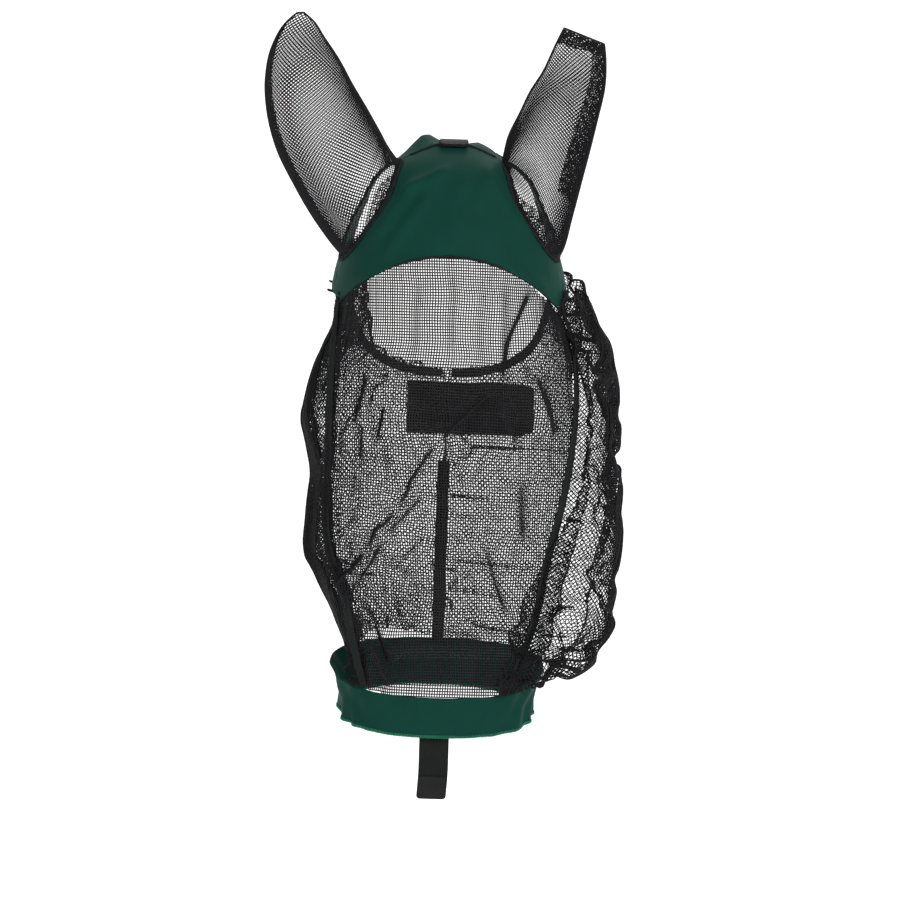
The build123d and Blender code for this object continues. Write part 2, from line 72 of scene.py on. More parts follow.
def smooth(q, xs, ys):
    """A smooth curve through the points (xs, ys), read at q."""
    q, xs, ys = np.asarray(q, float), np.asarray(xs, float), np.asarray(ys, float)
    slopes = np.gradient(ys, xs, axis=0)
    i = np.clip(np.searchsorted(xs, q) - 1, 0, len(xs) - 2)
    h = xs[i + 1] - xs[i]
    t = np.clip((q - xs[i]) / h, 0, 1)
    if ys.ndim > 1:
        h, t = h[..., None], t[..., None]
    here = (1 + 2 * t) * (1 - t) ** 2 * ys[i] + t * (1 - t) ** 2 * h * slopes[i]
    return here + t * t * (3 - 2 * t) * ys[i + 1] + t * t * (t - 1) * h * slopes[i + 1]


def head_ring(z, out=0.0):
    """Half width, middle and half depth of the head at height z."""
    ring = smooth(z, HEAD_HEIGHTS, HEAD_RINGS)
    return ring[..., 0] + out, (ring[..., 1] + ring[..., 2]) / 2, (ring[..., 2] - ring[..., 1]) / 2 + out


def head_skin(turn, z, out=0.0):
    """Points on the head: turn is 0 at the right side, 90 degrees at the jaw, -90 at the nose."""
    half, middle, depth = head_ring(z, out)
    c, s = np.cos(turn), np.sin(turn)
    x = half * np.sign(c) * np.abs(c) ** (2 / SQUARENESS)
    y = middle + depth * np.sign(s) * np.abs(s) ** (2 / SQUARENESS)
    return np.stack([x, y, np.broadcast_to(z, x.shape)], -1)


def off_head(p, out=0.0):
    """Over 0 outside the head and under 0 inside it."""
    half, middle, depth = head_ring(np.minimum(p[..., 2], CROWN_Z), out)
    ring = (np.abs(p[..., 0]) / half) ** SQUARENESS + (np.abs(p[..., 1] - middle) / depth) ** SQUARENESS
    return np.maximum(ring - 1, (p[..., 2] - CROWN_Z - out) * 40)


def front_y(x, z, out=0.0):
    """The depth of the head's front at (x, z)."""
    half, middle, depth = head_ring(z, out)
    return middle - depth * (1 - np.clip(np.abs(x) / half, 0, 0.9995) ** SQUARENESS) ** (1 / SQUARENESS)


def away_from_head(p):
    """The direction straight out from the head at points on it."""
    step = 0.001
    slope = [off_head(p + step * e) - off_head(p - step * e) for e in np.eye(3)]
    slope = np.stack(slope, -1)
    return slope / np.maximum(np.linalg.norm(slope, axis=-1, keepdims=True), 1e-9)


def onto_head(start, way, out=0.0, reach=0.15):
    """Goes from start, inside the head, along way until the head's surface."""
    near, far = np.zeros(start.shape[:-1]), np.full(start.shape[:-1], reach)
    for _ in range(SURFACE_STEPS):
        mid = (near + far) / 2
        inside = off_head(start + way * mid[..., None], out) < 0
        near, far = np.where(inside, mid, near), np.where(inside, far, mid)
    return start + way * near[..., None]


def crease(p, a, b, height, reach, draw=0.0):
    """Raises a fold between a and b, given as (x, z) in millimetres, and draws cloth in towards it."""
    a, b = np.array(a) / 1000, np.array(b) / 1000
    along = (b - a) / np.linalg.norm(b - a)
    across = np.array([-along[1], along[0]])
    rel = p[..., [0, 2]] - a
    t = rel @ along / np.linalg.norm(b - a)
    d = rel @ across
    ends = np.clip(t / FOLD_END, 0, 1) * np.clip((1 - t) / FOLD_END, 0, 1)
    ends = ends * ends * (3 - 2 * ends)
    fold = ends * np.exp(-((d / reach) ** 2))
    p = p + away_from_head(p) * (fold * height)[..., None]
    pull = -draw * ends * np.tanh(d / reach) * np.exp(-np.abs(d) / (5 * reach))
    p[..., 0] += pull * across[0]
    p[..., 2] += pull * across[1]
    return p


def brow_arch(x):
    """The height of the seam between the brow and the face net."""
    return ARCH_TOP - ARCH_RADIUS + np.sqrt(ARCH_RADIUS**2 - np.clip(x, -0.1, 0.1) ** 2)


def cheek_top(y):
    """The height of the seam between the hood and the cheeks."""
    return smooth(y, [-0.16, -0.06, 0.02, 0.1, 0.2], [-0.137, -0.134, -0.117, -0.093, -0.06])


def hood_foot(p):
    """Over 0 above the hood's lower edge."""
    side = np.where(p[..., 1] < EAR_Y, np.clip((np.abs(p[..., 0]) - 0.088) / 0.008, 0, 1), 1.0)
    return p[..., 2] - brow_arch(p[..., 0]) * (1 - side) - cheek_top(p[..., 1]) * side


def before_neck(p):
    """Over 0 in front of the neck's edge."""
    return -(NECK_BACK * (p[..., 1] - NECK_Y) + NECK_DOWN * (p[..., 2] - CROWN_Z))


# The ears' sections, from the seat up: centre x and z, direction in degrees, half width and half depth.
EARS = {
    "left": np.array([
        [-67, -57, 57, 46, 33], [-85, -36, 47, 44, 29], [-100, -12, 36, 43, 24], [-114, 13, 27, 42, 19],
        [-125, 39, 20, 38, 15], [-132, 64, 15, 32, 11], [-136, 87, 10, 22, 8], [-136, 104, 8, 11, 5],
        [-135, 111, 4, 3, 2],
    ], float),
    "right": np.array([
        [68, -53, -53, 44, 33], [73, -31, -42, 40, 29], [78, -9, -34, 37.5, 24], [86, 16, -28, 34, 19],
        [93, 39, -21, 31, 15], [101, 62, -13, 27, 11], [106, 86, -14, 22, 7], [108.5, 99, -20, 18.5, 4],
    ], float),
}


def outside_ear(side, grow):
    """Over 0 outside one ear's seat, grown by that much."""
    x, z, direction, half, depth = EARS[side][0]
    turn = math.radians(direction)

    def measure(p):
        across = (p[..., 0] - x / 1000) * math.cos(turn) + (p[..., 2] - z / 1000) * math.sin(turn)
        back = p[..., 1] - EAR_Y
        ring = (across / (half / 1000 + grow)) ** 2 + (back / (depth / 1000 + grow)) ** 2
        return np.where(p[..., 0] * x > 0, ring - 1, 1.0)

    return measure


def head_cloth(columns=160, pitch=0.0035):
    """A fine mesh over the whole head, from below the hood's edge up to the crown."""
    heights = np.linspace(HOOD_LOW, CROWN_Z, int((CROWN_Z - HOOD_LOW) / pitch))
    turns = np.linspace(0, 2 * np.pi, columns, endpoint=False)
    rows = [head_skin(turns, np.full(columns, z)) for z in heights]
    rim, middle = rows[-1], rows[-1].mean(0)
    for share in (0.9, 0.75, 0.55, 0.3, 0.12):
        ring = middle + (rim - middle) * share
        ring[:, 2] += CROWN_DOME * (1 - share**2)
        rows.append(ring)
    points = np.concatenate(rows)
    bm = bmesh.new()
    verts = [bm.verts.new(p) for p in points]
    for j in range(len(rows) - 1):
        for i in range(columns):
            k = (i + 1) % columns
            a, b = j * columns, (j + 1) * columns
            bm.faces.new((verts[a + i], verts[a + k], verts[b + k], verts[b + i]))
    bm.faces.new(verts[-columns:])
    return bm


def cut_to(bm, measure):
    """Cuts the cloth along the line where the measure is 0 and keeps the side where it is over 0."""
    bm.verts.ensure_lookup_table()
    values = measure(np.array([v.co[:] for v in bm.verts]))
    worth = {v: float(w) for v, w in zip(bm.verts, values)}
    fresh = []
    for e in list(bm.edges):
        a, b = e.verts
        if worth[a] * worth[b] < 0:
            _, vert = bmesh.utils.edge_split(e, a, worth[a] / (worth[a] - worth[b]))
            worth[vert] = 0.0
            fresh.append(vert)
    bmesh.ops.connect_verts(bm, verts=fresh)
    drop = [f for f in bm.faces if sum(worth[v] for v in f.verts) <= 0]
    bmesh.ops.delete(bm, geom=drop, context="FACES")
    return bm


def reshape(bm, change):
    """Moves every point of the cloth by a rule on its place."""
    bm.verts.ensure_lookup_table()
    points = change(np.array([v.co[:] for v in bm.verts]))
    for v, p in zip(bm.verts, points):
        v.co = p
    return bm


def placed(name, data):
    """An object in the scene that holds a mesh, a lamp or a camera."""
    obj = bpy.data.objects.new(name, data)
    bpy.context.scene.collection.objects.link(obj)
    return obj


def finished(name, mesh, material):
    """A smooth piece in the scene from a mesh."""
    obj = placed(name, mesh)
    mesh.materials.clear()
    mesh.materials.append(material)
    for f in mesh.polygons:
        f.use_smooth = True
    return obj


def made_plain(obj):
    """The plain mesh that an object's modifiers make."""
    bpy.context.view_layer.update()
    return bpy.data.meshes.new_from_object(obj.evaluated_get(bpy.context.evaluated_depsgraph_get()))


def with_thickness(obj, thickness, offset=-1.0):
    """Gives a sheet its real thickness."""
    solid = obj.modifiers.new("thickness", "SOLIDIFY")
    solid.thickness, solid.offset, solid.use_quality_normals = thickness, offset, True
    result = made_plain(obj)
    obj.modifiers.clear()
    obj.data = result
    return obj


def jersey_from(name, bm):
    """Ends a cut jersey as a piece with thickness."""
    bmesh.ops.recalc_face_normals(bm, faces=bm.faces[:])
    mesh = bpy.data.meshes.new(name)
    bm.to_mesh(mesh)
    bm.free()
    return with_thickness(finished(name, mesh, JERSEY), JERSEY_THICKNESS)


def socket(group, name, kind, value=None, out=False):
    """Adds a named input or output to a node group."""
    s = group.interface.new_socket(name, in_out="OUTPUT" if out else "INPUT", socket_type=kind)
    if value is not None:
        s.default_value = value


def math_node(tree, operation, a, b=None, c=None):
    """A maths node on sockets or numbers."""
    node = tree.nodes.new("ShaderNodeMath")
    node.operation = operation
    for i, value in enumerate((a, b, c)):
        if value is None:
            continue
        if isinstance(value, (int, float)):
            node.inputs[i].default_value = value
        else:
            tree.links.new(value, node.inputs[i])
    return node.outputs[0]


def thread_weave():
    """A shader group: fine crossing threads, with a slow unevenness in tone."""
    g = bpy.data.node_groups.new("thread weave", "ShaderNodeTree")
    socket(g, "Threads per metre", "NodeSocketFloat", 1400.0)
    socket(g, "Slant", "NodeSocketFloat", 0.0)
    socket(g, "Weave", "NodeSocketFloat", out=True)
    socket(g, "Uneven", "NodeSocketFloat", out=True)
    into, end = g.nodes.new("NodeGroupInput"), g.nodes.new("NodeGroupOutput")
    place = g.nodes.new("ShaderNodeTexCoord")
    turned = g.nodes.new("ShaderNodeVectorRotate")
    turned.rotation_type = "Y_AXIS"
    g.links.new(place.outputs["Object"], turned.inputs["Vector"])
    g.links.new(into.outputs["Slant"], turned.inputs["Angle"])
    split = g.nodes.new("ShaderNodeSeparateXYZ")
    g.links.new(turned.outputs[0], split.inputs[0])
    ribs = []
    for axis in ("X", "Z"):
        phase = math_node(g, "MULTIPLY", split.outputs[axis], into.outputs["Threads per metre"])
        ribs.append(math_node(g, "SINE", math_node(g, "MULTIPLY", phase, 2 * math.pi)))
    both = math_node(g, "MULTIPLY_ADD", ribs[0], 0.3, math_node(g, "MULTIPLY_ADD", ribs[1], 0.2, 0.5))
    g.links.new(both, end.inputs["Weave"])
    noise = g.nodes.new("ShaderNodeTexNoise")
    noise.inputs["Scale"].default_value = 45.0
    noise.inputs["Detail"].default_value = 5.0
    g.links.new(place.outputs["Object"], noise.inputs["Vector"])
    g.links.new(noise.outputs[0], end.inputs["Uneven"])
    return g


WEAVE = thread_weave()


def blank_material(name):
    """A new material with its node tree and its shader."""
    m = bpy.data.materials.new(name)
    m.use_nodes = True
    return m, m.node_tree, m.node_tree.nodes["Principled BSDF"]


def weave_in(tree, threads, slant=0.0):
    """The thread weave in a material."""
    weave = tree.nodes.new("ShaderNodeGroup")
    weave.node_tree = WEAVE
    weave.inputs["Threads per metre"].default_value = threads
    weave.inputs["Slant"].default_value = slant
    return weave


def between(tree, dark, light, share):
    """A colour between two tones, by a share."""
    tone = tree.nodes.new("ShaderNodeMix")
    tone.data_type = "RGBA"
    tone.inputs["A"].default_value = (*dark, 1)
    tone.inputs["B"].default_value = (*light, 1)
    tree.links.new(share, tone.inputs["Factor"])
    return tone.outputs["Result"]


def cloth_material(name, dark, light, roughness, threads, bump, sheen=0.0, sheen_tint=None, slant=0.0):
    """A woven or knitted finish between two tones, with its threads as fine relief."""
    m, t, shader = blank_material(name)
    weave = weave_in(t, threads, slant)
    share = math_node(t, "MULTIPLY_ADD", weave.outputs["Weave"], 0.45,
                      math_node(t, "MULTIPLY", weave.outputs["Uneven"], 0.6))
    t.links.new(between(t, dark, light, share), shader.inputs["Base Color"])
    rough = math_node(t, "MULTIPLY_ADD", weave.outputs["Uneven"], 0.12, roughness - 0.06)
    t.links.new(rough, shader.inputs["Roughness"])
    relief = t.nodes.new("ShaderNodeBump")
    relief.inputs["Strength"].default_value = bump
    relief.inputs["Distance"].default_value = 0.0003
    t.links.new(weave.outputs["Weave"], relief.inputs["Height"])
    t.links.new(relief.outputs[0], shader.inputs["Normal"])
    shader.inputs["Specular IOR Level"].default_value = 0.035
    shader.inputs["Sheen Weight"].default_value = sheen
    if sheen_tint:
        shader.inputs["Sheen Tint"].default_value = (*sheen_tint, 1)
    shader.inputs["Sheen Roughness"].default_value = 0.45
    return m


JERSEY = cloth_material("green stretch jersey", (0.0018, 0.019, 0.0135), (0.0035, 0.036, 0.026), 0.62,
                        900.0, 0.25, 0.03, (0.3, 0.9, 0.75))
JERSEY_THICKNESS = 0.0008

BROW_FOLDS = [
    ((-72, -92), (-22, -22), 0.0030, 0.006), ((-60, -104), (-12, -30), 0.0018, 0.005),
    ((-46, -44), (4, -18), 0.0026, 0.005), ((70, -88), (24, -14), 0.0026, 0.006),
    ((20, -60), (34, -8), 0.0014, 0.007), ((-90, -128), (-30, -104), 0.0014, 0.005),
    ((88, -124), (40, -96), 0.0014, 0.005), ((2, -96), (8, -22), 0.0012, 0.010),
]


def brow_folds(p):
    """Soft folds pulled towards the ears, and the turned edge over the arch."""
    for a, b, height, reach in BROW_FOLDS:
        p = crease(p, a, b, 1.6 * height, reach)
    edge = np.exp(-((hood_foot(p) / 0.0025) ** 2))
    return p + away_from_head(p) * (edge * 0.0007)[..., None]


ear_seats = (outside_ear("left", -EAR_TUCK), outside_ear("right", -EAR_TUCK))
brow = head_cloth()
for rule in (hood_foot, lambda p: EAR_Y - p[..., 1], *ear_seats):
    cut_to(brow, rule)
brow_piece = jersey_from("brow", reshape(brow, brow_folds))
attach(brow_piece, "mask")
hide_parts("brow_panel")

# ---- the poll panel: the same jersey behind the ears ------------------------------------
# It runs from the crown seam back to the neck's edge. It stands up a little behind the brow, where
# the seam holds it.


def poll_folds(p):
    """A soft hump behind the crown seam, sunk where the poll strap lies."""
    hump = np.exp(-(((p[..., 1] - 0.012) / 0.02) ** 2)) * np.clip((p[..., 2] + 0.03) / 0.03, 0, 1)
    side = np.exp(-(((p[..., 0] + 0.009) / 0.032) ** 4)) - 0.85 * np.exp(-((p[..., 0] / 0.017) ** 4))
    p = p.copy()
    p[..., 2] += hump * 0.0105 * np.maximum(side, 0.0)
    for sign in (-1, 1):
        p = crease(p, (sign * 80, -90), (sign * 30, -8), 0.002, 0.007)
    return p


poll = head_cloth()
for rule in (hood_foot, lambda p: p[..., 1] - EAR_Y, before_neck, *ear_seats):
    cut_to(poll, rule)
poll_piece = jersey_from("poll", reshape(poll, poll_folds))
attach(poll_piece, "mask")
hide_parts("poll_panel")

# ---- the face: stiff square net over the eyes and the nose ------------------------------
# A plain woven net of black polyester, cut with its threads level and upright, and pleated a little
# where it is sewn under the brow. It has long soft creases from being folded flat.

FACE_LEFT = smooth(np.linspace(-462, -137, 80), [-462, -418, -384, -349, -266, -200, -137],
                   [-60, -72, -80, -93, -97, -97, -94])
FACE_RIGHT = smooth(np.linspace(-462, -137, 80), [-462, -435, -400, -350, -307, -255, -204, -166, -137],
                    [58, 70, 81, 90, 100, 108, 110, 106, 97])
FACE_LEVELS = np.linspace(-462, -137, 80) / 1000
NOSE_LINE_Y = -0.098
NOSE_BAND_LOW = -0.502
NOSE_BAND_HEIGHT = 0.034
NOSE_BAND_RISE = math.tan(math.radians(16))


def face_side(z, side):
    """How far out the face net reaches at height z, left or right."""
    return np.interp(z, FACE_LEVELS, FACE_LEFT if side == "left" else FACE_RIGHT) / 1000


def above_nose_band(p):
    """Over 0 above the nose band."""
    return p[..., 2] - (NOSE_BAND_LOW + NOSE_BAND_HEIGHT + NOSE_BAND_RISE * (p[..., 1] - NOSE_LINE_Y))


def in_face(p, grow=0.0):
    """True where the face net lies."""
    x, z = p[..., 0], p[..., 2]
    sides = (x > face_side(z, "left") - grow) & (x < face_side(z, "right") + grow)
    return sides & (z < brow_arch(x) + grow) & (above_nose_band(p) > -grow)


def run_along(row):
    """How far each point of a row lies along it."""
    return np.concatenate([[0], np.cumsum(np.linalg.norm(np.diff(row, axis=0), axis=1))])


def across_face(z, s, out=0.0):
    """Points at height z at distances s across the head, measured over its front from the middle."""
    turns = np.linspace(-math.pi, 0, 361)
    length = run_along(head_skin(turns, np.full(len(turns), z), out))
    length -= length[len(turns) // 2]
    turn = np.interp(s, length, turns)
    return head_skin(turn, np.full(len(s), z), out)


def runs(points, keep):
    """The unbroken stretches of a thread where keep is true."""
    pieces, start = [], None
    for i, here in enumerate(list(keep) + [False]):
        if here and start is None:
            start = i
        elif not here and start is not None:
            if i - start > 1:
                pieces.append(points[start:i])
            start = None
    return pieces


def thread_tree():
    """Geometry Nodes: every line of edges becomes a thread of three sides."""
    g = bpy.data.node_groups.new("threads from lines", "GeometryNodeTree")
    socket(g, "Lines", "NodeSocketGeometry")
    socket(g, "Thread radius", "NodeSocketFloat", 0.0003)
    socket(g, "Sides", "NodeSocketInt", 3)
    socket(g, "Finish", "NodeSocketMaterial")
    socket(g, "Threads", "NodeSocketGeometry", out=True)
    into, end = g.nodes.new("NodeGroupInput"), g.nodes.new("NodeGroupOutput")
    curve = g.nodes.new("GeometryNodeMeshToCurve")
    outline = g.nodes.new("GeometryNodeCurvePrimitiveCircle")
    tube = g.nodes.new("GeometryNodeCurveToMesh")
    real = g.nodes.new("GeometryNodeRealizeInstances")
    finish = g.nodes.new("GeometryNodeSetMaterial")
    g.links.new(into.outputs["Lines"], curve.inputs["Mesh"])
    g.links.new(curve.outputs["Curve"], tube.inputs["Curve"])
    g.links.new(into.outputs["Thread radius"], outline.inputs["Radius"])
    g.links.new(into.outputs["Sides"], outline.inputs["Resolution"])
    g.links.new(outline.outputs["Curve"], tube.inputs["Profile Curve"])
    tube.inputs["Fill Caps"].default_value = True
    g.links.new(tube.outputs["Mesh"], real.inputs["Geometry"])
    g.links.new(real.outputs["Geometry"], finish.inputs["Geometry"])
    g.links.new(into.outputs["Finish"], finish.inputs["Material"])
    g.links.new(finish.outputs["Geometry"], end.inputs["Threads"])
    return g


THREADS = thread_tree()


def grown(name, mesh, tree, material, **sizes):
    """The plain mesh that a Geometry Nodes tree makes from a starting mesh."""
    seed = placed(name, mesh)
    nodes = seed.modifiers.new("made by rule", "NODES")
    nodes.node_group = tree
    sockets = {s.name: s.identifier for s in tree.interface.items_tree if s.in_out == "INPUT"}
    for title, value in sizes.items():
        nodes[sockets[title.replace("_", " ")]] = value
    nodes[sockets["Finish"]] = material
    result = made_plain(seed)
    bpy.data.objects.remove(seed)
    result.name = name
    return finished(name, result, material)


def line_mesh(name, lines):
    """A mesh of edges only, one run for each line."""
    points = np.concatenate(lines)
    edges, start = [], 0
    for line in lines:
        here = np.arange(start, start + len(line) - 1)
        edges.append(np.stack([here, here + 1], 1))
        start += len(line)
    mesh = bpy.data.meshes.new(name)
    mesh.from_pydata(points.tolist(), np.concatenate(edges).tolist(), [])
    return mesh


def net_from(name, lines, radius, material, sides=3):
    """A net of threads along the lines."""
    return grown(name, line_mesh(name, lines), THREADS, material, Thread_radius=radius, Sides=sides)


NET_TONE = 0.010


def net_material(name, roughness):
    """Black polyester thread, a little uneven in tone."""
    m, t, shader = blank_material(name)
    dark = (NET_TONE * 0.6, NET_TONE * 0.6, NET_TONE * 0.66)
    light = (NET_TONE * 1.6, NET_TONE * 1.6, NET_TONE * 1.75)
    uneven = weave_in(t, 2600.0).outputs["Uneven"]
    t.links.new(between(t, dark, light, uneven), shader.inputs["Base Color"])
    shader.inputs["Roughness"].default_value = roughness
    shader.inputs["Specular IOR Level"].default_value = 0.06
    return m


FACE_NET = net_material("black square net", 0.5)
HOLE_ACROSS, HOLE_DOWN = 0.0021, 0.0024
FACE_THREAD = 0.00062

# Each crease: from, to, height, reach across, and how much cloth is drawn in.
FACE_CREASES = [
    ((-92, -388), (-62, -342), 0.006, 0.007, 0.0030), ((-66, -346), (-38, -308), 0.007, 0.007, 0.0034),
    ((-42, -312), (-4, -250), 0.007, 0.006, 0.0034), ((-6, -254), (40, -206), 0.006, 0.005, 0.0030),
    ((-70, -378), (-46, -332), 0.004, 0.006, 0.0024), ((-48, -336), (-14, -294), 0.004, 0.006, 0.0024),
    ((44, -208), (76, -118), -0.004, 0.006, 0.0024), ((40, -206), (62, -262), 0.004, 0.007, 0.0022),
    ((36, -330), (60, -406), 0.004, 0.007, 0.0024), ((62, -276), (68, -340), 0.004, 0.008, 0.0022),
    ((-52, -222), (-56, -256), -0.004, 0.005, 0.0024), ((-66, -238), (-68, -272), 0.004, 0.005, 0.0022),
    ((-70, -192), (-80, -244), -0.004, 0.006, 0.0026), ((-62, -420), (-34, -462), 0.005, 0.005, 0.0034),
    ((-58, -404), (-40, -446), -0.003, 0.005, 0.0024), ((4, -104), (2, -186), 0.003, 0.009, 0.0016),
    ((24, -108), (26, -200), 0.003, 0.009, 0.0018), ((42, -112), (48, -192), 0.003, 0.008, 0.0018),
    ((-24, -106), (-30, -190), -0.002, 0.009, 0.0012), ((-4, -300), (2, -420), 0.002, 0.014, 0.0010),
    ((22, -300), (30, -440), -0.002, 0.012, 0.0010), ((-20, -330), (-30, -430), 0.002, 0.010, 0.0010),
    ((72, -190), (92, -250), 0.004, 0.007, 0.0022),
]


def face_creases(p):
    """Long creases, short ones, and a slow looseness between them."""
    for a, b, height, reach, draw in FACE_CREASES:
        p = crease(p, a, b, 1.4 * height, reach, 1.7 * draw)
    x, z = p[..., 0], p[..., 2]
    slack = 0.0012 * np.sin(x * 62 + z * 24 + 0.7) * np.sin(z * 41 - x * 13 + 1.9)
    p = p + away_from_head(p) * slack[..., None]
    p[..., 0] += 0.0006 * np.sin(z * 95 + x * 40)
    return p


rows = np.arange(-0.470, -0.094, HOLE_DOWN)
columns = np.arange(-0.150, 0.150, HOLE_ACROSS)
flat_face = np.stack([across_face(z, columns, 0.0004) for z in rows])
kept = in_face(flat_face, 0.0015)
face_grid = face_creases(flat_face)
lines = []
for j in range(len(rows)):
    lines += runs(face_grid[j], kept[j])
for i in range(len(columns)):
    lines += runs(face_grid[:, i], kept[:, i])
face_piece = net_from("face_net", lines, FACE_THREAD, FACE_NET)
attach(face_piece, "mask")
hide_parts("face_panel")

# ---- the cheeks: soft knitted net, cut full ---------------------------------------------
# A warp-knitted net with diamond holes, cut larger than the head and gathered into the seams all
# round, so that it bags out over each cheek and crumples. The drape is a cloth simulation.

CHEEK_NET = net_material("black knitted net", 0.6)
CHEEK_STEP = 0.0085
CHEEK_LOW, CHEEK_HIGH = -0.470, -0.090
WALES, COURSES = 168, 208
KNIT_THREAD = 0.00058
SLIT_TOP = -0.264
FORM_BELOW, CLOTH_GAP = 0.005, 0.002
SETTLING_FRAMES = 34
LOOSE_END = 8  # a wale with this many points or fewer would hang loose

# How far each cheek bags out off the head, from the nose band up: height and distance.
CHEEK_BAGS = {
    "left": [(-470, -2), (-437, -18), (-404, -20), (-372, -12), (-352, -6), (-318, -14), (-280, -19),
             (-262, -13), (-236, -2), (-205, -3), (-172, -5), (-150, -9), (-100, -4)],
    "right": [(-470, -2), (-452, 0), (-438, 6), (-421, 22), (-404, 24), (-387, 24), (-370, 19), (-353, 12),
              (-336, 10), (-302, 5), (-257, 2), (-223, 5), (-189, 7), (-172, 11), (-155, 6), (-100, 0)],
}


def cheek_grid(side, levels, shares, bags=0.0):
    """Rows of points over one cheek, from the face's side round to the jaw seam."""
    sign = -1 if side == "left" else 1
    table = np.array(CHEEK_BAGS[side], float) / 1000
    rows = []
    for z in levels:
        turns = np.linspace(-math.pi / 2, math.pi / 2, 721)
        row = head_skin(turns, np.full(len(turns), z), 0.0)
        length = run_along(row)
        edge = abs(face_side(max(z, FACE_LEVELS[0]), side))
        first = np.interp(edge, row[:361, 0], length[:361])
        wanted = np.interp(first + (length[-1] - first) * shares, length, turns)
        row = head_skin(wanted, np.full(len(wanted), z), 0.0)
        row[:, 0] *= sign
        loose = np.interp(z, table[:, 0], table[:, 1]) * np.sin(math.pi * np.clip(shares, 0, 1)) ** 0.7
        rows.append(row + away_from_head(row) * (bags * (loose + 0.0006))[:, None])
    return np.stack(rows)


def in_cheek(p, grow=0.0):
    """Over 0 where the cheek net lies."""
    top = cheek_top(p[..., 1]) - p[..., 2]
    slit = np.where(p[..., 2] > SLIT_TOP, np.abs(p[..., 0]) - 0.002, 1.0)
    slit = np.where(p[..., 1] > NECK_Y, slit, 1.0)
    return np.minimum(np.minimum(top, above_nose_band(p)), np.minimum(before_neck(p), slit)) + grow


def grid_faces(n, m, closed=False):
    """The faces between n rows of m points, closed on themselves if they go all the way round."""
    faces = []
    for j in range(n - 1):
        for i in range(m if closed else m - 1):
            k = (i + 1) % m
            faces.append((j * m + i, j * m + k, (j + 1) * m + k, (j + 1) * m + i))
    return faces


def grid_mesh(name, grid, closed=False):
    """A mesh over rows of points."""
    mesh = bpy.data.meshes.new(name)
    mesh.from_pydata(grid.reshape(-1, 3).tolist(), [], grid_faces(*grid.shape[:2], closed))
    return mesh


def draped(grid, fullness, out):
    """Lets a cheek's cloth, cut fuller than the head by a share, fall against the head and settle."""
    n, m = grid.shape[:2]
    sheet = placed("cheek cloth", grid_mesh("cheek cloth", grid))
    held = in_cheek(grid, -0.004).reshape(-1) < 0
    edge = np.zeros((n, m), bool)
    edge[:, 0] = True
    edge[:, -1] = True
    pins = sheet.vertex_groups.new(name="sewn")
    pins.add(np.flatnonzero(held | edge.reshape(-1)).tolist(), 1.0, "REPLACE")
    form = placed("form", grid_mesh("form", grid - away_from_head(grid) * FORM_BELOW))
    form.modifiers.new("touch", "COLLISION")
    form.collision.thickness_outer = CLOTH_GAP
    cloth = sheet.modifiers.new("cloth", "CLOTH")
    cloth.settings.vertex_group_mass = "sewn"
    cloth.settings.shrink_min = -fullness
    cloth.settings.quality = 7
    cloth.settings.mass = 0.08
    cloth.settings.tension_stiffness = 12
    cloth.settings.compression_stiffness = 12
    cloth.settings.shear_stiffness = 4
    cloth.settings.bending_stiffness = 0.02
    cloth.settings.air_damping = 2.0
    cloth.collision_settings.distance_min = CLOTH_GAP
    cloth.point_cache.frame_start, cloth.point_cache.frame_end = 1, SETTLING_FRAMES
    scene = bpy.context.scene
    scene.frame_start, scene.frame_end = 1, SETTLING_FRAMES
    for frame_number in range(1, SETTLING_FRAMES + 1):
        scene.frame_set(frame_number)
    settled = sheet.evaluated_get(bpy.context.evaluated_depsgraph_get()).data
    points = np.empty(n * m * 3)
    settled.vertices.foreach_get("co", points)
    points = points.reshape(n, m, 3)
    bpy.data.objects.remove(sheet)
    bpy.data.objects.remove(form)
    scene.frame_set(1)
    moved = points - grid
    far = np.linalg.norm(moved, axis=-1, keepdims=True)
    return grid + moved * np.minimum(1, out / np.maximum(far, 1e-9))


# Folds that lie over each cheek beside the face: middle and half width as shares of the way round
# to the jaw, where along the cheek they widen, and how often.
CHEEK_FOLDS = {
    "left": [(0.030, 0.055, 0.6, 26.0), (0.130, 0.045, 2.2, 38.0), (0.240, 0.030, 4.2, 33.0)],
    "right": [(0.020, 0.068, 1.1, 21.0), (0.135, 0.045, 3.6, 31.0), (0.260, 0.020, 0.2, 47.0)],
}


def fold_over(side, level, count):
    """How the cloth runs from the face to the jaw at one height: how far round, and its lift."""
    cut, share, lift = [0.0], [0.0], [0.0]
    for middle, half, place, beat in CHEEK_FOLDS[side]:
        middle += 0.35 * half * math.sin(level * beat + place)
        half *= 0.60 + 0.40 * math.sin(level * beat * 0.73 + 2 * place)
        for target, rise in ((middle + half, 0.0026), (middle - half, 0.0040)):
            cut.append(cut[-1] + abs(target - share[-1]))
            share.append(target)
            lift.append(lift[-1] * 0.5 + rise)
    cut += [cut[-1] + 0.12, cut[-1] + 1.0 - share[-1]]
    share += [share[-1] + 0.12, 1.0]
    lift += [0.0010, 0.0]
    marks = np.linspace(0, cut[-1], count)
    run = []
    for keys in (share, lift):
        line = np.interp(marks, cut, keys)
        soft = np.convolve(np.pad(line, 2, mode="edge"), [0.1, 0.2, 0.4, 0.2, 0.1], mode="valid")
        run.append(np.concatenate([line[:1], soft[1:-1], line[-1:]]))
    return run


